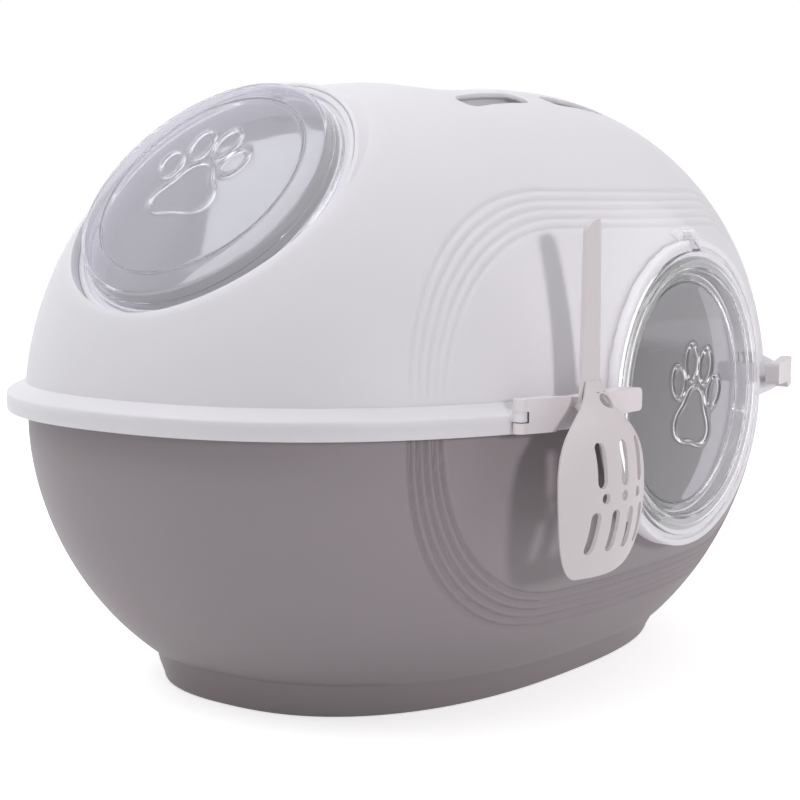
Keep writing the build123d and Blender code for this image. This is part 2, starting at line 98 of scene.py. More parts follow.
def soften(bm, sharp_angle):
    """Shades a bmesh smooth, apart from edges whose faces meet at the angle or more."""
    limit = radians(sharp_angle)
    for face in bm.faces:
        face.smooth = True
    for edge in bm.edges:
        edge.smooth = len(edge.link_faces) == 2 and edge.calc_face_angle(pi) < limit


def as_object(bm, name, sharp_angle=SHARP_ANGLE):
    """A new object from a bmesh, with its sharp edges set."""
    soften(bm, sharp_angle)
    mesh = bpy.data.meshes.new(name)
    bm.to_mesh(mesh)
    bm.free()
    thing = bpy.data.objects.new(name, mesh)
    bpy.context.scene.collection.objects.link(thing)
    return thing


def cut(target, tool, operation="DIFFERENCE"):
    """Joins or cuts target with a closed tool, applies it, and removes the tool."""
    boolean = target.modifiers.new("cut", "BOOLEAN")
    boolean.operation = operation
    boolean.solver = "MANIFOLD"
    boolean.object = tool
    bpy.context.view_layer.update()
    depsgraph = bpy.context.evaluated_depsgraph_get()
    mesh = bpy.data.meshes.new_from_object(target.evaluated_get(depsgraph))
    target.modifiers.clear()
    old = target.data
    target.data = mesh
    bpy.data.meshes.remove(old)
    bpy.data.objects.remove(tool)
    return target


def tidy(target, sharp_angle=SHARP_ANGLE):
    """Merges doubles after cutting and sets the sharp edges again."""
    bm = bmesh.new()
    bm.from_mesh(target.data)
    bmesh.ops.remove_doubles(bm, verts=bm.verts[:], dist=TOUCH)
    bmesh.ops.dissolve_degenerate(bm, edges=bm.edges[:], dist=TOUCH)
    soften(bm, sharp_angle)
    bm.to_mesh(target.data)
    bm.free()
    return target


def report(piece):
    """Prints the size of a piece in millimetres and its count of triangles."""
    piece.data.calc_loop_triangles()
    size = [round(side / MM, 1) for side in piece.dimensions]
    print(piece.name, "size mm", size, "triangles", len(piece.data.loop_triangles))


# %% [markdown]
# ## Outlines and lofts
# Seen from above, tray and hood are superellipses: rounder than a rectangle, fuller than an ellipse.
# A body is a stack of such outlines. `loft` starts from one circle, gives it the first outline, and
# extrudes its edges once for each further outline, then closes both ends.

# %% Superellipse rings


def outline(half_x, half_y, power, z, count):
    """Points of |x/half_x|^power + |y/half_y|^power = 1 at height z."""
    points = []
    for k in range(count):
        angle = 2 * pi * k / count
        x = copysign(abs(cos(angle)) ** (2 / power), cos(angle))
        y = copysign(abs(sin(angle)) ** (2 / power), sin(angle))
        points.append(Vector((half_x * x, half_y * y, z)))
    return points


def narrowed(height, curve):
    """The share of its full width that a body keeps at a share of its full height."""
    return (1 - height ** curve[0]) ** (1 / curve[1])


def onto_outline(point, size, share):
    """Moves a point level with its height onto an outline that has a share of the full size."""
    half_x, half_y, power = size
    reach = (abs(point.x / half_x) ** power + abs(point.y / half_y) ** power) ** (1 / power)
    return Vector((point.x * share / reach, point.y * share / reach, point.z))


def held(value, low, high):
    """The value, held between two others."""
    return min(max(value, low), high)


def place_key(vert):
    """The place of a vertex as rounded numbers, by which an extrusion finds its copy."""
    return tuple(round(c, 7) for c in vert.co)


def loft(rings, hollow=False):
    """A bmesh through rings of points: capped at both ends, or joined end to end if hollow."""
    bm = bmesh.new()
    bmesh.ops.create_circle(bm, segments=len(rings[0]), radius=1.0)
    bm.verts.ensure_lookup_table()
    loop = bm.verts[:]
    for vert, point in zip(loop, rings[0]):
        vert.co = point
    bottom = loop[:]
    edges = bm.edges[:]
    first = edges[:]
    for ring in rings[1:]:
        result = bmesh.ops.extrude_edge_only(bm, edges=edges)
        made = [item for item in result["geom"] if isinstance(item, bmesh.types.BMVert)]
        edges = [item for item in result["geom"] if isinstance(item, bmesh.types.BMEdge)]
        by_place = {place_key(vert): vert for vert in made}
        loop = [by_place[place_key(vert)] for vert in loop]
        for vert, point in zip(loop, ring):
            vert.co = point
        edges = [bm.edges.get((a, b)) for a, b in zip(loop, loop[1:] + loop[:1])]
    if hollow:
        bmesh.ops.bridge_loops(bm, edges=first + edges)
    else:
        bm.faces.new(loop)
        bm.faces.new(bottom[::-1])
    bmesh.ops.recalc_face_normals(bm, faces=bm.faces[:])
    return bm


# %% [markdown]
# ## Round cutters and blocks
# The sockets, bores and pockets are cut with plain closed tools, placed in a seat. A tool that opens
# a wall goes well beyond it, so that no end of the tool lies in a face of the piece.

# %% Cutting tools
ROUND_STEPS = 192             # sides of a form that is turned or cut about a seat's axis
BEYOND = 60 * MM              # how far such a tool goes from the face of its seat


def disc_tool(place, radius, top, bottom):
    """A round column along a seat's outward axis, from depth bottom up to top."""
    bm = bmesh.new()
    bmesh.ops.create_cone(bm, cap_ends=True, segments=ROUND_STEPS, radius1=radius,
                          radius2=radius, depth=top - bottom)
    bmesh.ops.translate(bm, verts=bm.verts[:], vec=(0, 0, (top + bottom) / 2))
    bmesh.ops.transform(bm, verts=bm.verts[:], matrix=place)
    return as_object(bm, "tool")


def box_tool(low, high, corner=0.0, foot=0.0, place=Matrix.Identity(4)):
    """A box between two corners; corner rounds its upright edges and foot its lower ones."""
    bm = bmesh.new()
    bmesh.ops.create_cube(bm, size=1.0)
    size = Vector(high) - Vector(low)
    middle = (Vector(high) + Vector(low)) / 2
    bmesh.ops.scale(bm, verts=bm.verts[:], vec=size)
    bmesh.ops.translate(bm, verts=bm.verts[:], vec=middle)
    if corner:
        upright = [e for e in bm.edges if abs(e.verts[0].co.z - e.verts[1].co.z) > size.z / 2]
        bmesh.ops.bevel(bm, geom=upright, offset=corner, offset_type="OFFSET", segments=12,
                        profile=0.5, affect="EDGES", material=-1)
    if foot:
        floor = [e for e in bm.edges if all(abs(v.co.z - low[2]) < TOUCH for v in e.verts)]
        bmesh.ops.bevel(bm, geom=floor, offset=foot, offset_type="OFFSET", segments=5,
                        profile=0.5, affect="EDGES", material=-1)
    bmesh.ops.transform(bm, verts=bm.verts[:], matrix=place)
    return as_object(bm, "tool")


# %% [markdown]
# ## Round sections
# Rings and lids start as a section, a line of (radius, height) points. `rounded` softens its corners
# and `spun` turns it about a seat's axis.

# %% A section with round corners


def rounded(corners, steps=4):
    """A line of (radius, height) points whose corners are rounded by the third number."""
    line = []
    for k, (r, h, reach) in enumerate(corners):
        if reach == 0:
            line.append((r, h))
            continue
        here = Vector((r, h))
        before = Vector(corners[k - 1][:2]) - here
        after = Vector(corners[k + 1][:2]) - here
        start, end = here + before.normalized() * reach, here + after.normalized() * reach
        for step in range(steps + 1):
            t = step / steps
            point = start.lerp(here, t).lerp(here.lerp(end, t), t)
            line.append(tuple(point))
    return line


# %% Spin a profile


def spun(profile, place, steps=ROUND_STEPS, closed=True):
    """A bmesh turned about the seat's axis from (radius, height) points in millimetres."""
    bm = bmesh.new()
    verts = [bm.verts.new((r * MM, 0, h * MM)) for r, h in profile]
    pairs = list(zip(verts, verts[1:])) + ([(verts[-1], verts[0])] if closed else [])
    edges = [bm.edges.new(pair) for pair in pairs]
    bmesh.ops.spin(bm, geom=verts + edges, cent=(0, 0, 0), axis=(0, 0, 1), angle=2 * pi,
                   steps=steps, use_merge=True)
    bmesh.ops.remove_doubles(bm, verts=bm.verts[:], dist=TOUCH)
    bmesh.ops.recalc_face_normals(bm, faces=bm.faces[:])
    if place is not None:
        bmesh.ops.transform(bm, verts=bm.verts[:], matrix=place)
    return bm


# %% [markdown]
# ## The ribs round the entry
# Five soft grooves run round the entry, on hood and tray alike, like the ribs that stiffen a moulding.
# Seen from the front they are rounded rectangles, one inside the other. The depth of the grooves at a
# point follows from how far the point lies inside the outermost one. The hood's grooves are the
# shallower ones, and they fade out towards its foot.

# %% Rib pattern
RIB_HALF_WIDTH = 239 * MM
RIB_HALF_HEIGHT = 148.5 * MM
RIB_CORNER = 135 * MM
RIB_DROP = 6.5 * MM           # how far the ribs' middle lies below the entry's middle
RIB_COUNT = 5
RIB_SPACING = 4.5             # between the grooves beside the entry, in millimetres
RIB_SPREAD = 1.6              # how much wider that is above and below the entry
RIB_WIDTH = 0.27              # of a groove, as a share of the spacing
RIB_DEPTH = {"hood": 1.1 * MM, "tray": 2.3 * MM}
RIB_FADE = (8 * MM, 80 * MM)  # above the hood's foot: where its grooves begin, and how slowly
REFINED = (-1.6, RIB_COUNT + 0.9)     # places between which the mesh is made finer
SMOOTHED = (-2, RIB_COUNT + 1)        # places between which the finer mesh is laid on the form
FRONT_Y = -60 * MM            # the face with the entry lies before this
rib_middle_z = entry_seat.translation.z - RIB_DROP


def rib_place(x, z):
    """How many groove spacings the front-view point (x, z) lies inside the outermost groove."""
    qx = abs(x) - (RIB_HALF_WIDTH - RIB_CORNER)
    qz = abs(z - rib_middle_z) - (RIB_HALF_HEIGHT - RIB_CORNER)
    away = hypot(max(qx, 0), max(qz, 0))
    inside = RIB_CORNER - away - min(max(qx, qz), 0)
    upright = max(qz, 0) / away if away > 0 else (1.0 if qz > qx else 0.0)
    spacing = (RIB_SPACING + RIB_SPREAD * upright) * MM
    return inside / spacing


def rib_depth(which, x, z):
    """Depth of the hood's or the tray's grooves at a front-view point."""
    place = rib_place(x, z)
    nearest = held(round(place), 0, RIB_COUNT - 1)
    return RIB_DEPTH[which] * exp(-((place - nearest) / RIB_WIDTH) ** 2)


def in_front(point, places):
    """Whether a point lies on the face with the entry, between two places of the rib pattern."""
    return point.y < FRONT_Y and places[0] < rib_place(point.x, point.z) < places[1]


def refine_ribs(bm):
    """Adds edges where the ribs run, so that the grooves are smooth."""
    band = [face for face in bm.faces if in_front(face.calc_center_median(), REFINED)]
    edges = list({edge for face in band for edge in face.edges})
    bmesh.ops.subdivide_edges(bm, edges=edges, cuts=3, use_grid_fill=True)


# %% [markdown]
# ## The hood's dome
# The dome narrows upwards by two powers, which gives it fuller shoulders than an ellipsoid. Round the
# entry the real moulding swells forward to meet the ring, so points there move out to a cone. The two
# forms are blended softly, as a mould maker would.

# %% Hood values
WALL = 3.0 * MM
skirt_low, skirt_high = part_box("hood")
HOOD_HALF = (326.5 * MM, 233.6 * MM, 2.33)
HOOD_BASE_Z = skirt_low.z
HOOD_RISE = 235.6 * MM
HOOD_CURVE = (1.918, 2.619)
HOOD_FOOT_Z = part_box("tray")[1].z + 0.3 * MM
FRAME_RADIUS = 107.5 * MM
FAIRING_START = 7.2 * MM
FAIRING_SLOPE = 1.5
SEAT_GAP = 0.15 * MM
SOCKET_WALL = 3.0 * MM
SOCKET_FLOOR = 12.15 * MM
TUBE_RADIUS = 98.5 * MM
COLLAR_RADIUS = 110.8         # of the rim that the hood raises round the window, in millimetres
OUTER_RINGS = (76, 480)       # how many rings the dome has, and points in each
INNER_RINGS = (44, 240)
INNER_FOOT_Z = HOOD_BASE_Z - 2 * MM   # the hollow's tool comes out under the hood's foot
NEARLY_TOP = 0.985            # share of the rise at which the dome's last ring lies
LEVEL_TOP = 0.95              # share of the rise above which no point is laid on the dome
FAIRING_BLEND = 7.0 * MM
FAIRING_FOOT = 14 * MM        # height over which the swelling grows from the hood's foot
FAIRING_REACH = 62 * MM       # beyond the frame, where the swelling ends
FAIRING_FADE = 25 * MM        # the last part of that reach, in which it fades


def dome_rings(shrink, low_z, count, around):
    """Rings of the dome, shrunk by a wall, from low_z to nearly the closed top."""
    half_x, half_y, power = HOOD_HALF
    rise = HOOD_RISE - shrink
    first = max((low_z - HOOD_BASE_Z) / rise, 0.0)
    start = (2 / pi) * atan2(first, sqrt(1 - first ** 2))
    rings = []
    for k in range(count + 1):
        u = sin(pi / 2 * (start + (1 - start) * k / count)) * NEARLY_TOP
        u = max(u, first)
        left = narrowed(u, HOOD_CURVE)
        z = HOOD_BASE_Z + rise * u
        rings.append(outline((half_x - shrink) * left, (half_y - shrink) * left, power, z, around))
    if low_z < HOOD_BASE_Z:
        rings.insert(0, outline(half_x - shrink, half_y - shrink, power, low_z, around))
    return rings


def on_dome(point):
    """Moves a point level with its height onto the dome's outer form."""
    u = held((point.z - HOOD_BASE_Z) / HOOD_RISE, 0.0, LEVEL_TOP)
    return onto_outline(point, HOOD_HALF, narrowed(u, HOOD_CURVE))


def fairing(point, back):
    """How far forward (towards -Y) the swelling round the entry brings a point, blended softly."""
    middle = entry_seat.translation
    radius = hypot(point.x - middle.x, point.z - middle.z)
    cone = middle.y + FAIRING_START + back + FAIRING_SLOPE * max(radius - FRAME_RADIUS, 0)
    ahead = point.y - cone
    lift = 0.5 * (ahead + sqrt(ahead ** 2 + FAIRING_BLEND ** 2))
    fade = held((point.z - HOOD_FOOT_Z) / FAIRING_FOOT, 0, 1)
    near = held((FRAME_RADIUS + FAIRING_REACH - radius) / FAIRING_FADE, 0, 1)
    return lift * fade * near


# %% Build the hood


def dome(shrink, low_z, count, around, back):
    """A closed dome with the swelling round the entry, and with the grooves if it isn't shrunk."""
    bm = loft(dome_rings(shrink, low_z, count, around))
    if not shrink:
        refine_ribs(bm)
        bm.normal_update()
        for vert in bm.verts:
            if in_front(vert.co, SMOOTHED):
                vert.co = on_dome(vert.co)
    for vert in bm.verts:
        if vert.co.y < 0:
            vert.co.y -= fairing(vert.co, back)
    if not shrink:
        bm.normal_update()
        for vert in bm.verts:
            if vert.co.y < FRONT_Y:
                fade = held((vert.co.z - HOOD_FOOT_Z - RIB_FADE[0]) / RIB_FADE[1], 0, 1)
                vert.co -= vert.normal * rib_depth("hood", vert.co.x, vert.co.z) * fade
    return as_object(bm, "hood_skin" if not shrink else "tool")


DISH_HALF = (95 * MM, 85 * MM)
DISH_FLOOR_Z = 413 * MM
DISH_CORNER = 30 * MM
DISH_FOOT = 7 * MM
DISH_TOP = 80 * MM            # of the tool above the dish's floor, well above the dome
SLOT_AT = (53 * MM, -104.5 * MM)
SLOT_SIZE = (76 * MM, 19 * MM)
SLOT_TOOL = (-20 * MM, 30 * MM)       # its foot and top, from the dish's floor
SLOT_ROUND = 0.49             # of the slot's width: nearly a half, for ends that are nearly round
HANDLE_Z = joints["carry_handle_turn"]["pos_m"][2]
TUBE_GAP = 0.4 * MM           # between a frame's tube and its bore
BORE_DEPTH = 50 * MM
COLLAR = (                    # radius and height of the collar's section, in millimetres
    (FRAME_RADIUS / MM + 0.2, -14), (FRAME_RADIUS / MM + 0.2, -1.6),
    *rounded([(108.5, -0.9, 0), (COLLAR_RADIUS, -0.9, 1.4), (COLLAR_RADIUS + 10, -17, 0)]),
)


def dish_tool(grow):
    """The sunk dish in the crown, or the outside of its wall."""
    return box_tool(
        (-DISH_HALF[0] - grow, -DISH_HALF[1] - grow, DISH_FLOOR_Z - grow),
        (DISH_HALF[0] + grow, DISH_HALF[1] + grow, DISH_FLOOR_Z + DISH_TOP),
        corner=DISH_CORNER + grow, foot=DISH_FOOT)


def build_hood():
    """The dome with its sockets, bores, dish and slots, and the collar round the window."""
    wall_back = WALL * sqrt(1 + FAIRING_SLOPE ** 2)
    inner = dome(WALL, INNER_FOOT_Z, *INNER_RINGS, wall_back)
    socket = FRAME_RADIUS + SEAT_GAP + SOCKET_WALL
    for place in (entry_seat, window_seat):
        cut(inner, disc_tool(place, socket, BEYOND, -SOCKET_FLOOR - SOCKET_WALL))
    cut(inner, dish_tool(WALL))
    hood = dome(0.0, HOOD_FOOT_Z, *OUTER_RINGS, 0.0)
    cut(hood, inner)
    cut(hood, dish_tool(0.0))
    for place in (entry_seat, window_seat):
        cut(hood, disc_tool(place, FRAME_RADIUS + SEAT_GAP, BEYOND, -SOCKET_FLOOR))
        cut(hood, disc_tool(place, TUBE_RADIUS + TUBE_GAP, BEYOND, -BORE_DEPTH))
    cut(hood, as_object(spun(COLLAR, window_seat), "tool"), "UNION")
    for side in (-1, 1):
        x, y = side * SLOT_AT[0], SLOT_AT[1]
        cut(hood, box_tool(
            (x - SLOT_SIZE[0] / 2, y - SLOT_SIZE[1] / 2, DISH_FLOOR_Z + SLOT_TOOL[0]),
            (x + SLOT_SIZE[0] / 2, y + SLOT_SIZE[1] / 2, DISH_FLOOR_Z + SLOT_TOOL[1]),
            corner=SLOT_SIZE[1] * SLOT_ROUND))
    return tidy(hood)


# %% [markdown]
# ## The skirt, the ledge and the small fixed parts of the hood
# The hood ends in an upright band that hides the tray's flange, with a sloping ledge above it. The band
# is a hollow loft: its rings run up the outside, over the ledge and back down the inside. The lugs for
# the latches and the bosses for the carry handle are joined to the same moulding.

# %% Skirt and lugs
SKIRT_POWER = 2.34
SKIRT_PROFILE = (            # inset from the band's face, height above its foot, in millimetres
    (1.0, 0.0), (0.3, 0.25), (0.0, 1.0), (0.0, 11.4), (0.35, 12.5), (1.5, 13.5),
    (12.6, 19.3), (13.4, 19.0), (13.4, 16.5), (2.9, 11.2), (2.6, 10.6), (2.6, 0.0),
)
SKIRT_AROUND = 360
LATCH_BARREL = 4.4 * MM
LUG_HALF = 3.4 * MM
LUG_WEB = (2.5 * MM, 6 * MM)  # half its width, and its reach back into the skirt
BOSS_RADIUS = 7 * MM
BOSS_START = 90.4 * MM
BOSS_ROOT = 1 * MM            # how far a boss goes into the dish's wall


def build_skirt():
    """The band and the ledge, open where the entry frame passes."""
    rings = [
        outline(skirt_high.x - inset * MM, skirt_high.y - inset * MM, SKIRT_POWER,
                skirt_low.z + rise * MM, SKIRT_AROUND)
        for inset, rise in SKIRT_PROFILE
    ]
    skirt = as_object(loft(rings, hollow=True), "skirt")
    return cut(skirt, disc_tool(entry_seat, FRAME_RADIUS + SEAT_GAP, BEYOND, -BEYOND))


def bar_tool(start, end, radius):
    """A round bar between two points."""
    start, end = Vector(start), Vector(end)
    bm = bmesh.new()
    bmesh.ops.create_cone(bm, cap_ends=True, segments=48, radius1=radius, radius2=radius,
                          depth=(end - start).length)
    turn = (end - start).to_track_quat("Z", "Y").to_matrix().to_4x4()
    bmesh.ops.transform(bm, verts=bm.verts[:], matrix=Matrix.Translation((start + end) / 2) @ turn)
    return as_object(bm, "tool")


def add_lug(hood, joint_name):
    """The hood's knuckle for one latch."""
    pivot = Vector(joints[joint_name]["pos_m"])
    lift = Vector((0, 0, LUG_HALF))
    cut(hood, box_tool(pivot - lift - Vector((LUG_WEB[0], 0, 0)),
                       pivot + lift + Vector((*LUG_WEB, 0))), "UNION")
    cut(hood, bar_tool(pivot - lift, pivot + lift, LATCH_BARREL), "UNION")


hood_skin = build_hood()
cut(hood_skin, build_skirt(), "UNION")
for name in ("latch_left_turn", "latch_right_turn"):
    add_lug(hood_skin, name)
for side in (-1, 1):
    cut(hood_skin, bar_tool((side * BOSS_START, 0, HANDLE_Z),
                            (side * (DISH_HALF[0] + BOSS_ROOT), 0, HANDLE_Z), BOSS_RADIUS),
        "UNION")
tidy(hood_skin)
report(hood_skin)

# %% [markdown]
# ## The tray
# One closed loft makes the whole tray: up the flat foot, out along the rounded side, round the flange
# and down the inside to the floor. The ribs of the hood carry on below the skirt, and a half-round
# notch lets the entry tube through.

# %% Tray values and rings
TRAY_HALF = (323.1 * MM, 227.1 * MM, 2.41)
TRAY_WIDEST_Z = 194.7 * MM
TRAY_DEPTH = 226.8 * MM
TRAY_CURVE = (1.816, 2.724)
FOOT_HALF = (226.2 * MM, 145.7 * MM, 2.46)
FOOT_TOP_Z = 25 * MM
FOOT_FLARE = (3 * MM, 11 * MM)
FOOT_EDGE = ((4, 0), (2.2, 0.35), (0.9, 1.2), (0.2, 2.6), (0, 4.2))   # inset and height, in mm
FOOT_SHARES = (0.5, 0.85)     # of the foot's height, at which it has a ring
FOOT_JOIN = (-0.6 * MM, -0.4 * MM)    # inset and height, from its top, of the foot's last ring
FOOT_HOLLOW = 3 * MM          # height above the foot at which the side's inner wall ends
FLOOR = 4 * MM
FLOOR_EDGE = (5 * MM, 9 * MM)         # inset of the floor, and height of its rounded edge
NECK_Z = 202 * MM             # the side stands upright above its widest place
FLANGE_TOP_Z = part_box("tray")[1].z
FLANGE_INSET = 3.3 * MM
RIBBED_Z = (FOOT_TOP_Z + 4 * MM, FLANGE_TOP_Z - WALL - 1 * MM)    # the grooves stay between these
TRAY_AROUND = 420
TRAY_RINGS = 46
SKIN_DEPTH = 1.4 * MM         # a point that lies nearer the outer form than this is on it
FACES_FRONT = -0.05           # greatest y of a normal that points to the front
NOTCH_TOP = 40 * MM           # of the notch's tools, outwards from the entry's face
NOTCH_GAP = (0.8 * MM, 0.4 * MM, 0.2 * MM)    # round the tube, round the socket, behind it


def tray_ring(z, shrink):
    """The outline of the tray's side at a height."""
    half_x, half_y, power = TRAY_HALF
    u = max((TRAY_WIDEST_Z - z) / (TRAY_DEPTH - shrink), 0.0)
    left = narrowed(u, TRAY_CURVE)
    return outline((half_x - shrink) * left, (half_y - shrink) * left, power, z,
                   TRAY_AROUND)


def foot_ring(inset, z, flare):
    """The outline of the flat foot at a height."""
    half_x, half_y, power = FOOT_HALF
    return outline(half_x - inset + flare * FOOT_FLARE[0], half_y - inset + flare * FOOT_FLARE[1],
                   power, z, TRAY_AROUND)


def on_tray(point):
    """Moves a point level with its height onto the tray's outer side."""
    u = max((TRAY_WIDEST_Z - point.z) / TRAY_DEPTH, 0.0)
    return onto_outline(point, TRAY_HALF, narrowed(u, TRAY_CURVE))


# %% Build the tray


def build_tray():
    """The tray with its ribs and its notch."""
    rings = [foot_ring(inset * MM, z * MM, 0) for inset, z in FOOT_EDGE]
    rings += [foot_ring(0, FOOT_TOP_Z * share, share) for share in FOOT_SHARES]
    rings.append(foot_ring(FOOT_JOIN[0], FOOT_TOP_Z + FOOT_JOIN[1], 1))
    side = [FOOT_TOP_Z + (TRAY_WIDEST_Z - FOOT_TOP_Z) * k / TRAY_RINGS
            for k in range(TRAY_RINGS + 1)]
    rings += [tray_ring(z, 0.0) for z in (*side, NECK_Z, FLANGE_TOP_Z - WALL)]
    flange_x, flange_y = skirt_high.x - FLANGE_INSET, skirt_high.y - FLANGE_INSET
    rings += [outline(flange_x, flange_y, SKIRT_POWER, z, TRAY_AROUND)
              for z in (FLANGE_TOP_Z - WALL, FLANGE_TOP_Z)]
    rings.append(tray_ring(FLANGE_TOP_Z, WALL))
    rings += [tray_ring(z, WALL) for z in side[:3:-3]]    # inside, a third of the rings will do
    rings += [foot_ring(WALL, FOOT_TOP_Z + FOOT_HOLLOW, 1), foot_ring(WALL, FLOOR_EDGE[1], 0),
              foot_ring(WALL + FLOOR_EDGE[0], FLOOR, 0)]
    bm = loft(rings)
    refine_ribs(bm)
    bm.normal_update()
    for vert in bm.verts:
        place, normal = vert.co.copy(), vert.normal.copy()
        outside = normal.y < FACES_FRONT and RIBBED_Z[0] < place.z < RIBBED_Z[1]
        on_skin = (on_tray(place) - place).length < SKIN_DEPTH
        if place.y < FRONT_Y and outside and on_skin:
            vert.co = on_tray(place) - normal * rib_depth("tray", place.x, place.z)
    tray = as_object(bm, "tray_skin")
    cut(tray, disc_tool(entry_seat, TUBE_RADIUS + NOTCH_GAP[0], NOTCH_TOP, -BEYOND))
    ring_room = FRAME_RADIUS + SEAT_GAP + SOCKET_WALL + NOTCH_GAP[1]
    cut(tray, disc_tool(entry_seat, ring_room, NOTCH_TOP,
                        -SOCKET_FLOOR - SOCKET_WALL - NOTCH_GAP[2]))
    return tidy(tray)


tray_skin = build_tray()
report(tray_skin)

# %% [markdown]
# ## The two frames and the two lids
# Frame and lid are round, so each starts as a profile that is spun once about the seat's axis. The
# frame then loses a notch for the lid's hinge stem and gains two ears, and the entry's tube loses a
# slot for a catch. The clear lid has a step round its panel, and the paw print stands on the panel as
# a raised line.

# %% Frames
FRAME_PROFILE = (            # radius and height of the ring's section, in millimetres
    (96.0, -3.9), (96.4, -3.5), (102.6, -3.5), (103.0, -3.1), (103.0, -2.2), (103.3, -1.5),
    (104.0, -1.2), (106.3, -1.2), (107.1, -1.5), (107.5, -2.3), (107.5, -12.0), (98.5, -12.0),
)
TUBE_DEPTHS = {"entry": 36.2, "window": 20.0}
STEM_HALF = 6 * MM
EAR_INNER = 7 * MM
EAR_OUTER = 12.2 * MM
EAR_ROOT = 104 * MM           # how far above the middle an ear starts
EAR_HEIGHTS = (-12 * MM, -7 * MM)     # its back and front, from the lid's face
NOTCH_HEIGHTS = (-13 * MM, 1 * MM)    # of the notch between the ears, likewise
BARREL = 3.6 * MM
CATCH_SLOT = (                # low and high corner, from the middle of the entry's face
    (93 * MM, 14.5 * MM, -17.1 * MM), (99.2 * MM, 22.7 * MM, -4.1 * MM),
)


def hinge_ends(place, low, high):
    """Two points on a seat's hinge line, at the distances low and high to the right."""
    return [place @ Vector((x, HINGE_RISE, -HINGE_DEPTH)) for x in (low, high)]


def build_frame(which, place):
    """The ring that a lid closes on, with its inward tube and the ears of the hinge."""
    depth = TUBE_DEPTHS[which]
    tube_end = (
        (98.5, -depth), (97.9, -depth - 0.01), (96.6, -depth), (96.0, -depth + 0.6),
    )
    ring = as_object(spun(FRAME_PROFILE + tube_end, place), which + "_ring")
    cut(ring, box_tool((-EAR_INNER, TUBE_RADIUS, NOTCH_HEIGHTS[0]),
                       (EAR_INNER, HINGE_RISE, NOTCH_HEIGHTS[1]), place=place))
    for side in (-1, 1):
        low, high = sorted((side * EAR_INNER, side * EAR_OUTER))
        cut(ring, box_tool((low, EAR_ROOT, EAR_HEIGHTS[0]), (high, HINGE_RISE, EAR_HEIGHTS[1]),
                           place=place), "UNION")
        cut(ring, bar_tool(*hinge_ends(place, low, high), BARREL), "UNION")
    if which == "entry":
        cut(ring, box_tool(*CATCH_SLOT, place=place))
    return tidy(ring)


entry_ring = build_frame("entry", entry_seat)
window_ring = build_frame("window", window_seat)
report(entry_ring)
report(window_ring)

# %% [markdown]
# ## The paw print
# The print is generic: four toes and one pad, each a closed line. Toes are leaning ellipses and the pad
# is a rounded three-lobed shape. `paw_line` gives the distance to the nearest line, and the lid's panel
# is raised where that distance is small.

# %% Paw print
PAW_TOES = (                 # middle x, y, half width, half height in millimetres, lean in degrees
    (-27.0, 9.0, 8.6, 11.5, 24), (-11.0, 25.0, 8.6, 12.5, 8),
    (10.0, 25.0, 8.6, 12.5, -8), (26.0, 9.0, 8.6, 11.5, -24),
)
PAW_PAD = (0.0, -14.0, 20.0, 3.4)     # middle x, y, radius and lobe
PAD_STRETCH = 1.18            # how much wider than high the pad is
PAW_PLACES = {"entry": (15.0, -6.0, 12, 1.0), "window": (-8.0, 7.5, 0, 1.1)}   # x, y, lean, scale
PAW_HEIGHT = 1.1
PAW_WIDTH = 1.5


def paw_line(x, y):
    """Distance in millimetres from a point of the panel to the nearest line of the print."""
    best = inf
    for middle_x, middle_y, half_x, half_y, lean in PAW_TOES:
        turn = radians(lean)
        dx, dy = x - middle_x, y - middle_y
        across = (dx * cos(turn) + dy * sin(turn)) / half_x
        along = (-dx * sin(turn) + dy * cos(turn)) / half_y
        out = hypot(across, along)
        best = min(best, abs(out - 1) * (half_x + half_y) / 2)
    middle_x, middle_y, radius, lobe = PAW_PAD
    dx, dy = (x - middle_x) / PAD_STRETCH, y - middle_y
    around = atan2(dy, dx)
    edge = radius + lobe * cos(3 * (around - pi / 2))
    return min(best, abs(hypot(dx, dy) - edge))


# %% Lids
# A lid's section is worked out in millimetres, from the middle of its face.
LID_RADIUS = 100.0
LID_THICKNESS = 3.2
LID_STEPS = 288
LID_SHARP_ANGLE = 30
PANEL_THICKNESS = 2.6
PANEL_CROWN = 2.0
PANELS = {"entry": (84.0, -8.0), "window": (95.5, 14.0)}   # radius, height above the rim
GROOVE_RADIUS = 78.0
PRINT_STEP = 0.75             # spacing of the panel's rings under the print
PRINT_RINGS = 90
PRINT_RADIUS = 66             # of the part of the panel that may be raised
UPPER_FACE = 1.2              # a point that lies deeper under the crown is on the lower face
STEM_ROOT = (-2, 1.5)         # where the stem's root starts and ends, from the lid's edge
PIN_BORE = 1.88 * MM


def cap_height(radius, base, r):
    """Height of a panel's crown at the radius r."""
    sphere = (radius ** 2 + PANEL_CROWN ** 2) / (2 * PANEL_CROWN)
    return base + PANEL_CROWN - sphere + sqrt(sphere ** 2 - r ** 2)


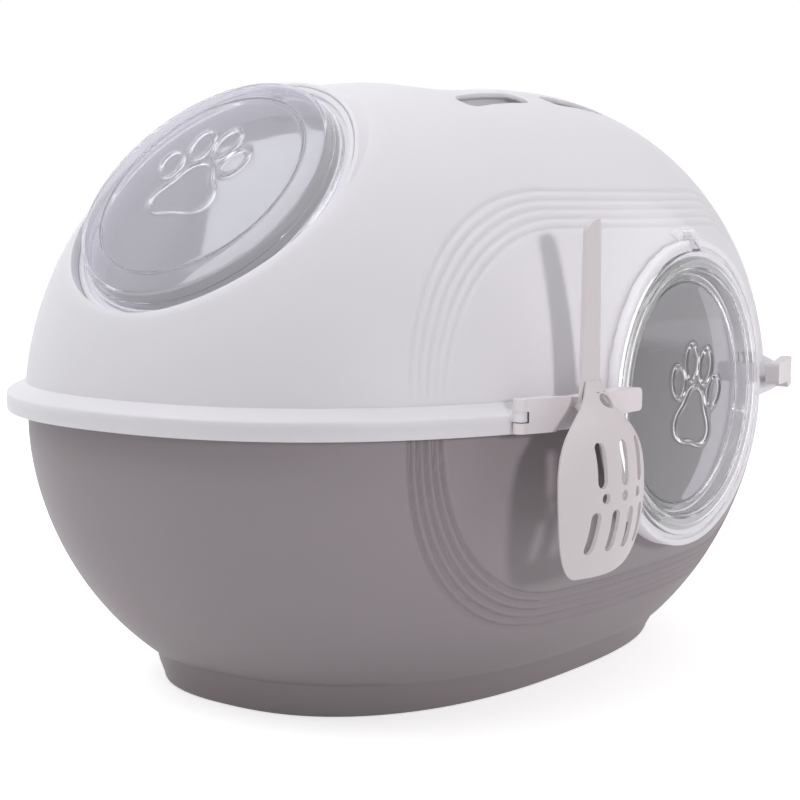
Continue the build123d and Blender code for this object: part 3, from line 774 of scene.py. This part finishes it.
def lid_profile(which):
    """The section of a lid: panel, groove, side and rim above, then the same below."""
    radius, rise = PANELS[which]
    side = copysign(PANEL_THICKNESS, rise)
    under = rise - PANEL_THICKNESS
    fine = [(PRINT_STEP * k, cap_height(radius, rise, PRINT_STEP * k)) for k in range(PRINT_RINGS)]
    level = cap_height(radius, rise, GROOVE_RADIUS)
    bead = (radius + 2 + LID_RADIUS) / 2
    edge = rounded([
        (GROOVE_RADIUS - 4, cap_height(radius, rise, GROOVE_RADIUS - 4), 0),
        # the groove
        (GROOVE_RADIUS - 0.4, level, 0.8), (GROOVE_RADIUS + 0.2, level - 1.0, 0.5),
        (GROOVE_RADIUS + 1.4, level - 1.0, 0.5), (GROOVE_RADIUS + 2.0, level, 0.8),
        # the panel's edge and its side, which has a small step
        (radius, rise, 1.8 if rise > 0 else 1.2), (radius + 1.0, rise * 0.42, 0.4),
        (radius + 1.7, rise * 0.36, 0.4), (radius + 2.2, 0.0, 0.9),
        # the bead on the rim, then the rim's edge
        (bead - 0.8, 0.0, 0.2), (bead, 0.45, 0.4), (bead + 0.8, 0.0, 0.2),
        (LID_RADIUS, 0.0, 0.9), (LID_RADIUS, -LID_THICKNESS, 0.5),
        # back along the lower face
        (radius + 2.2 - side, -LID_THICKNESS, 0.8 if rise > 0 else 0.4),
        (radius + 0.4 - side, under, 1.2),
        (0.9 * radius, cap_height(radius, under, 0.9 * radius), 0),
    ])
    below = [share * radius for share in (0.78, 0.65, 0.5, 0.35, 0.2, 0.08)]
    lower = [(r, cap_height(radius, under, r)) for r in below]
    return fine + edge + lower + [(0.0, rise + PANEL_CROWN - PANEL_THICKNESS)]


def build_lid(which, place):
    """A clear lid with its raised paw print and its hinge stem."""
    radius, rise = PANELS[which]
    paw_x, paw_y, lean, scale = PAW_PLACES[which]
    turn = Matrix.Rotation(radians(lean), 2)
    bm = spun(lid_profile(which), None, steps=LID_STEPS, closed=False)
    for vert in bm.verts:
        x, y, h = (c / MM for c in vert.co)
        r = hypot(x, y)
        if r < PRINT_RADIUS and h > cap_height(radius, rise, r) - UPPER_FACE:
            line = paw_line(*(turn @ Vector((x - paw_x, y - paw_y)) / scale))
            vert.co.z += PAW_HEIGHT * MM * exp(-(line / PAW_WIDTH) ** 2)
    bmesh.ops.transform(bm, verts=bm.verts[:], matrix=place)
    lid = as_object(bm, which + "_clear_lid", LID_SHARP_ANGLE)
    root_low = (-STEM_HALF, (LID_RADIUS + STEM_ROOT[0]) * MM, -LID_THICKNESS * MM)
    root_high = (STEM_HALF, (LID_RADIUS + STEM_ROOT[1]) * MM, 0)
    cut(lid, box_tool(root_low, root_high, place=place), "UNION")
    root = Vector((0, LID_RADIUS * MM, -LID_THICKNESS * MM / 2))
    hinge = Vector((0, HINGE_RISE, -HINGE_DEPTH))
    arm = hinge - root
    slope = Matrix.Rotation(atan2(arm.z, arm.y), 4, "X")
    half = LID_THICKNESS * MM / 2
    cut(lid, box_tool((-STEM_HALF, 0, -half), (STEM_HALF, arm.length, half),
                      place=place @ Matrix.Translation(root) @ slope), "UNION")
    cut(lid, bar_tool(*hinge_ends(place, -STEM_HALF, STEM_HALF), BARREL), "UNION")
    cut(lid, bar_tool(*hinge_ends(place, -STEM_HALF * 2, STEM_HALF * 2), PIN_BORE))
    return tidy(lid, LID_SHARP_ANGLE)


entry_clear_lid = build_lid("entry", entry_seat)
window_clear_lid = build_lid("window", window_seat)
report(entry_clear_lid)
report(window_clear_lid)

# %% Who stands for what
for piece, body, node, slot in (
    (hood_skin, "hood", "hood", "hood_white"),
    (tray_skin, "tray", "tray", "tray_grey"),
    (entry_ring, "hood", "entry_frame", "hood_white"),
    (window_ring, "hood", "window_frame", "hood_white"),
    (entry_clear_lid, "entry_lid", "entry_lid", "lid_clear"),
    (window_clear_lid, "window_lid", "window_lid", "lid_clear"),
):
    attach(piece, body)
    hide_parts(node)
print("pieces are seated")

# %% [markdown]
# ## Plastics
# Moulded plastic is never one flat colour: it has a very fine spark-eroded grain, slow drifts of tone
# from uneven cooling, and a gloss that changes a little from place to place. Those three effects are
# shared, so they are one node group; each plastic gives it its own colour, scale and strength. The
# hood's wall is thin and white enough to let some light through, which its subsurface stands for.

# %% The moulded-plastic group


def moulded_group():
    """A node group: colour, roughness and a grain height for moulded plastic."""
    group = bpy.data.node_groups.new("moulded_plastic", "ShaderNodeTree")
    face = group.interface
    for name, kind, value in (
        ("Colour", "NodeSocketColor", (0.8, 0.8, 0.8, 1)),
        ("Drift", "NodeSocketFloat", 0.03),
        ("Roughness", "NodeSocketFloat", 0.35),
        ("Roughness Drift", "NodeSocketFloat", 0.06),
        ("Grain Scale", "NodeSocketFloat", 1500.0),
    ):
        socket = face.new_socket(name=name, in_out="INPUT", socket_type=kind)
        socket.default_value = value
    for name, kind in (("Colour", "NodeSocketColor"), ("Roughness", "NodeSocketFloat"),
                       ("Grain", "NodeSocketFloat")):
        face.new_socket(name=name, in_out="OUTPUT", socket_type=kind)
    add, join = group.nodes.new, group.links.new
    given, out = add("NodeGroupInput"), add("NodeGroupOutput")
    where = add("ShaderNodeTexCoord")
    slow, fine = add("ShaderNodeTexNoise"), add("ShaderNodeTexNoise")
    slow.inputs["Scale"].default_value = 9.0
    slow.inputs["Detail"].default_value = 3.0
    fine.inputs["Detail"].default_value = 2.0
    join(where.outputs["Object"], slow.inputs["Vector"])
    join(where.outputs["Object"], fine.inputs["Vector"])
    join(given.outputs["Grain Scale"], fine.inputs["Scale"])
    centred = add("ShaderNodeMath")
    centred.operation = "SUBTRACT"
    centred.inputs[1].default_value = 0.5
    join(slow.outputs["Fac"], centred.inputs[0])

    def drifting(strength):
        """The slow noise about zero, times one of the group's inputs, fed into an Add node."""
        scaled, total = add("ShaderNodeMath"), add("ShaderNodeMath")
        scaled.operation = "MULTIPLY"
        join(centred.outputs[0], scaled.inputs[0])
        join(given.outputs[strength], scaled.inputs[1])
        join(scaled.outputs[0], total.inputs[0])
        return total

    gain = drifting("Drift")
    gain.inputs[1].default_value = 1.0
    tone = add("ShaderNodeVectorMath")
    tone.operation = "SCALE"
    join(given.outputs["Colour"], tone.inputs[0])
    join(gain.outputs[0], tone.inputs["Scale"])
    join(tone.outputs[0], out.inputs["Colour"])
    gloss = drifting("Roughness Drift")
    join(given.outputs["Roughness"], gloss.inputs[1])
    join(gloss.outputs[0], out.inputs["Roughness"])
    join(fine.outputs["Fac"], out.inputs["Grain"])
    return group


moulded = moulded_group()
print("node group:", moulded.name)

# %% One plastic
PLASTIC_IOR = 1.49
PLASTIC_SPECULAR = 0.3        # less than the usual 0.5, so that a white surround pales it less
GLOW_SCALE = 0.009            # how far light spreads in a wall, in metres
GLOW_RADIUS = (0.95, 1.0, 0.95)


def srgb(red, green, blue):
    """A linear colour from the eight-bit numbers of a colour chart."""
    def linear(value):
        value /= 255
        return value / 12.92 if value <= 0.04045 else ((value + 0.055) / 1.055) ** 2.4
    return (linear(red), linear(green), linear(blue), 1.0)


def principled(name):
    """A new material, its node tree and its Principled BSDF."""
    material = bpy.data.materials.new(name)
    material.use_nodes = True
    return material, material.node_tree, material.node_tree.nodes["Principled BSDF"]


def plastic(name, colour, roughness, drift, grain_scale, grain_height, glow=0.0):
    """A moulded plastic with its own colour, gloss and grain; glow lets light pass a thin wall."""
    material, tree, shader = principled(name)
    effect = tree.nodes.new("ShaderNodeGroup")
    effect.node_tree = moulded
    effect.inputs["Colour"].default_value = colour
    effect.inputs["Drift"].default_value = drift
    effect.inputs["Roughness"].default_value = roughness
    effect.inputs["Grain Scale"].default_value = grain_scale
    bump = tree.nodes.new("ShaderNodeBump")
    bump.inputs["Distance"].default_value = grain_height
    bump.inputs["Strength"].default_value = 0.5
    tree.links.new(effect.outputs["Colour"], shader.inputs["Base Color"])
    tree.links.new(effect.outputs["Roughness"], shader.inputs["Roughness"])
    tree.links.new(effect.outputs["Grain"], bump.inputs["Height"])
    tree.links.new(bump.outputs["Normal"], shader.inputs["Normal"])
    shader.inputs["IOR"].default_value = PLASTIC_IOR
    shader.inputs["Specular IOR Level"].default_value = PLASTIC_SPECULAR
    shader.inputs["Subsurface Weight"].default_value = glow
    shader.inputs["Subsurface Scale"].default_value = GLOW_SCALE
    shader.inputs["Subsurface Radius"].default_value = GLOW_RADIUS
    return material


hood_white = plastic("hood_white", srgb(233, 231, 235), roughness=0.46, drift=0.03,
                     grain_scale=900.0, grain_height=0.00004, glow=0.6)
scoop_white = plastic("scoop_white", srgb(211, 205, 206), roughness=0.42, drift=0.03,
                      grain_scale=900.0, grain_height=0.00004)
latch_white = plastic("latch_white", srgb(226, 220, 222), roughness=0.42, drift=0.03,
                      grain_scale=900.0, grain_height=0.00004)
tray_grey = plastic("tray_grey", srgb(153, 145, 148), roughness=0.5, drift=0.05,
                    grain_scale=1400.0, grain_height=0.00008)
pin_white = plastic("pin_white", srgb(214, 213, 217), roughness=0.3, drift=0.02,
                    grain_scale=900.0, grain_height=0.00003)
print("plastics:", [material.name for material in bpy.data.materials])

# %% [markdown]
# ## Clear plastic
# The lids are smoky clear styrene: it bends light like glass, is faintly grey, and has slight ripples
# from moulding. Round the panel it is paler, and the window's lid is a little milky besides, so it
# has less transmission. Transmission and metallic stay plain numbers, so that the finish survives an
# export. Shadow and diffuse rays pass straight through, because bent light would come out grainy.

# %% Clear material
CLEAR_ROUGHNESS = (0.02, 0.05)        # where the ripple's noise is 0 and where it is 1
RIM_TONE = srgb(252, 252, 252)
RIM_BLEND = (-1.5, 0.5)       # from the panel's radius: where its tone starts and ends to change
STRAIGHT_TONE = (0.95, 0.95, 0.97, 1)         # what a lid leaves of light that goes straight


def clear_plastic(name, colour, clearness, place, radius):
    """Smoky clear plastic with a faint ripple, milky where it isn't clear, paler beyond a radius."""
    material, tree, shader = principled(name)
    where = tree.nodes.new("ShaderNodeTexCoord")
    offset, across = tree.nodes.new("ShaderNodeVectorMath"), tree.nodes.new("ShaderNodeVectorMath")
    offset.operation = "SUBTRACT"
    offset.inputs[1].default_value = place.translation
    across.operation = "CROSS_PRODUCT"
    across.inputs[1].default_value = place.col[2].xyz
    away = tree.nodes.new("ShaderNodeVectorMath")
    away.operation = "LENGTH"
    band = tree.nodes.new("ShaderNodeMapRange")
    band.inputs["From Min"].default_value = (radius + RIM_BLEND[0]) * MM
    band.inputs["From Max"].default_value = (radius + RIM_BLEND[1]) * MM
    tone = tree.nodes.new("ShaderNodeMix")
    tone.data_type = "RGBA"
    tone.inputs["A"].default_value = colour
    tone.inputs["B"].default_value = RIM_TONE
    tree.links.new(where.outputs["Object"], offset.inputs[0])
    tree.links.new(offset.outputs["Vector"], across.inputs[0])
    tree.links.new(across.outputs["Vector"], away.inputs[0])
    tree.links.new(away.outputs["Value"], band.inputs["Value"])
    tree.links.new(band.outputs["Result"], tone.inputs["Factor"])
    tree.links.new(tone.outputs["Result"], shader.inputs["Base Color"])
    shader.inputs["Transmission Weight"].default_value = clearness
    shader.inputs["IOR"].default_value = PLASTIC_IOR
    shader.inputs["Specular IOR Level"].default_value = PLASTIC_SPECULAR
    ripple = tree.nodes.new("ShaderNodeTexNoise")
    ripple.inputs["Scale"].default_value = 22.0
    ripple.inputs["Detail"].default_value = 1.0
    bump = tree.nodes.new("ShaderNodeBump")
    bump.inputs["Distance"].default_value = 0.0006
    bump.inputs["Strength"].default_value = 0.1
    gloss = tree.nodes.new("ShaderNodeMapRange")
    gloss.inputs["To Min"].default_value = CLEAR_ROUGHNESS[0]
    gloss.inputs["To Max"].default_value = CLEAR_ROUGHNESS[1]
    tree.links.new(where.outputs["Object"], ripple.inputs["Vector"])
    tree.links.new(ripple.outputs["Fac"], bump.inputs["Height"])
    tree.links.new(ripple.outputs["Fac"], gloss.inputs["Value"])
    tree.links.new(gloss.outputs["Result"], shader.inputs["Roughness"])
    tree.links.new(bump.outputs["Normal"], shader.inputs["Normal"])
    straight = tree.nodes.new("ShaderNodeBsdfTransparent")
    straight.inputs["Color"].default_value = STRAIGHT_TONE
    path = tree.nodes.new("ShaderNodeLightPath")
    either = tree.nodes.new("ShaderNodeMath")
    either.operation = "MAXIMUM"
    mix = tree.nodes.new("ShaderNodeMixShader")
    tree.links.new(path.outputs["Is Shadow Ray"], either.inputs[0])
    tree.links.new(path.outputs["Is Diffuse Ray"], either.inputs[1])
    tree.links.new(either.outputs[0], mix.inputs["Fac"])
    tree.links.new(shader.outputs["BSDF"], mix.inputs[1])
    tree.links.new(straight.outputs["BSDF"], mix.inputs[2])
    tree.links.new(mix.outputs["Shader"], tree.nodes["Material Output"].inputs["Surface"])
    return material


lid_clear = clear_plastic("lid_clear", srgb(238, 236, 240), 0.95, entry_seat, PANELS["entry"][0])
lid_milky = clear_plastic("lid_milky", srgb(234, 232, 241), 0.84, window_seat, PANELS["window"][0])
print("clear plastics:", lid_clear.name, lid_milky.name)

# %% Which piece has which finish
CAD_FINISHES = {"scoop": scoop_white, "latch_left": latch_white, "latch_right": latch_white,
                "carry_handle": hood_white}

for piece, material in (
    (hood_skin, hood_white),
    (tray_skin, tray_grey),
    (entry_ring, hood_white),
    (window_ring, hood_white),
    (entry_clear_lid, lid_clear),
    (window_clear_lid, lid_milky),
):
    piece.data.materials.clear()
    piece.data.materials.append(material)
for name, node in nodes.items():
    finish = CAD_FINISHES.get(name, pin_white)
    if not node.material_slots:
        node.data.materials.append(finish)
    for slot in node.material_slots:
        slot.material = finish
print("finishes:", [m.name for m in bpy.data.materials])

# %% [markdown]
# ## Studio
# A pale floor, a white surround that only the camera, gloss and clear plastic see at full strength,
# a large soft light from above, and a small narrow one from the front, a little above the box, which
# throws the soft shadow of the scoop's handle.

# %% Floor and surround
FLOOR_TONE = (0.88, 0.88, 0.88, 1)
FLOOR_GLOW = 0.62             # what the floor adds where it is seen, so that it looks white
WORLD_TONE = (0.985, 0.97, 1.0, 1)
DIM_SIDE = Vector((-0.78, -0.6, -0.1)).normalized()     # the surround lights least from there


def seen_rays(tree, level):
    """A socket that gives a level to camera, gloss and clear-plastic rays, and 0 to light."""
    path = tree.nodes.new("ShaderNodeLightPath")
    total = path.outputs["Is Camera Ray"]
    for kind in ("Is Glossy Ray", "Is Transmission Ray"):
        larger = tree.nodes.new("ShaderNodeMath")
        larger.operation = "MAXIMUM"
        tree.links.new(total, larger.inputs[0])
        tree.links.new(path.outputs[kind], larger.inputs[1])
        total = larger.outputs[0]
    scaled = tree.nodes.new("ShaderNodeMath")
    scaled.operation = "MULTIPLY"
    scaled.inputs[1].default_value = level
    tree.links.new(total, scaled.inputs[0])
    return scaled.outputs[0]


def build_floor():
    """A wide pale floor that looks white where no shadow falls."""
    bm = bmesh.new()
    bmesh.ops.create_grid(bm, x_segments=8, y_segments=8, size=6.0)
    floor = as_object(bm, "studio_floor")
    material, tree, shader = principled("floor_white")
    shader.inputs["Base Color"].default_value = FLOOR_TONE
    shader.inputs["Roughness"].default_value = 0.8
    shader.inputs["Emission Color"].default_value = (1, 1, 1, 1)
    tree.links.new(seen_rays(tree, FLOOR_GLOW), shader.inputs["Emission Strength"])
    floor.data.materials.append(material)


def build_world():
    """White where camera, gloss and clear plastic look; as light it is dim on one side."""
    world = bpy.data.worlds.new("studio")
    bpy.context.scene.world = world
    world.use_nodes = True
    tree = world.node_tree
    tree.nodes.clear()
    out = tree.nodes.new("ShaderNodeOutputWorld")
    seen, light = tree.nodes.new("ShaderNodeBackground"), tree.nodes.new("ShaderNodeBackground")
    seen.inputs["Color"].default_value = (1, 1, 1, 1)
    light.inputs["Color"].default_value = WORLD_TONE
    where, facing = tree.nodes.new("ShaderNodeTexCoord"), tree.nodes.new("ShaderNodeVectorMath")
    facing.operation = "DOT_PRODUCT"
    facing.inputs[1].default_value = DIM_SIDE
    level = tree.nodes.new("ShaderNodeMapRange")
    level.interpolation_type = "SMOOTHSTEP"
    level.inputs["From Min"].default_value = -0.2
    level.inputs["From Max"].default_value = 0.85
    level.inputs["To Min"].default_value = 0.82
    level.inputs["To Max"].default_value = 0.08
    mix = tree.nodes.new("ShaderNodeMixShader")
    tree.links.new(where.outputs["Generated"], facing.inputs[0])
    tree.links.new(facing.outputs["Value"], level.inputs["Value"])
    tree.links.new(level.outputs["Result"], light.inputs["Strength"])
    tree.links.new(seen_rays(tree, 1.0), mix.inputs["Fac"])
    tree.links.new(light.outputs["Background"], mix.inputs[1])
    tree.links.new(seen.outputs["Background"], mix.inputs[2])
    tree.links.new(mix.outputs["Shader"], out.inputs["Surface"])


def area_light(name, place, target, size, power, spread, colour):
    """A soft light that faces a point; a small spread, in degrees, narrows its beam."""
    data = bpy.data.lights.new(name, "AREA")
    data.shape = "RECTANGLE"
    data.size, data.size_y = size
    data.energy = power
    data.spread = radians(spread)
    data.color = colour
    lamp = bpy.data.objects.new(name, data)
    lamp.location = place
    aim = Vector(target) - Vector(place)
    lamp.rotation_euler = aim.to_track_quat("-Z", "Y").to_euler()
    bpy.context.scene.collection.objects.link(lamp)
    print(name, "at", place, "with", power, "watts")


build_floor()
build_world()
area_light("overhead", place=(-1.05, 0.54, 1.9), target=(-1.05, 0.54, 0), size=(1.6, 1.78),
           power=22, spread=180, colour=(0.96, 0.985, 1.0))
area_light("front_key", place=(-1.13, -1.95, 0.64), target=(0.08, -0.24, 0.27), size=(0.2, 0.2),
           power=0.68, spread=34, colour=(1.0, 0.97, 0.985))

# %% [markdown]
# ## Camera
# The box is seen a little from above, with its entry turned to the right.

# %% Camera
CAMERA_PLACE = (-1.0941, -0.8227, 0.3507)
CAMERA_DIP = 6.52             # degrees below level
CAMERA_TURN = -52.42          # degrees from looking along +Y

camera_data = bpy.data.cameras.new("camera")
camera_data.lens = 78.7
camera_data.sensor_width = 36.0
camera = bpy.data.objects.new("camera", camera_data)
camera.location = CAMERA_PLACE
camera.rotation_euler = (radians(90 - CAMERA_DIP), 0, radians(CAMERA_TURN))
bpy.context.scene.collection.objects.link(camera)
bpy.context.scene.camera = camera
bpy.context.scene.view_settings.view_transform = "Standard"
print("camera at", CAMERA_PLACE)
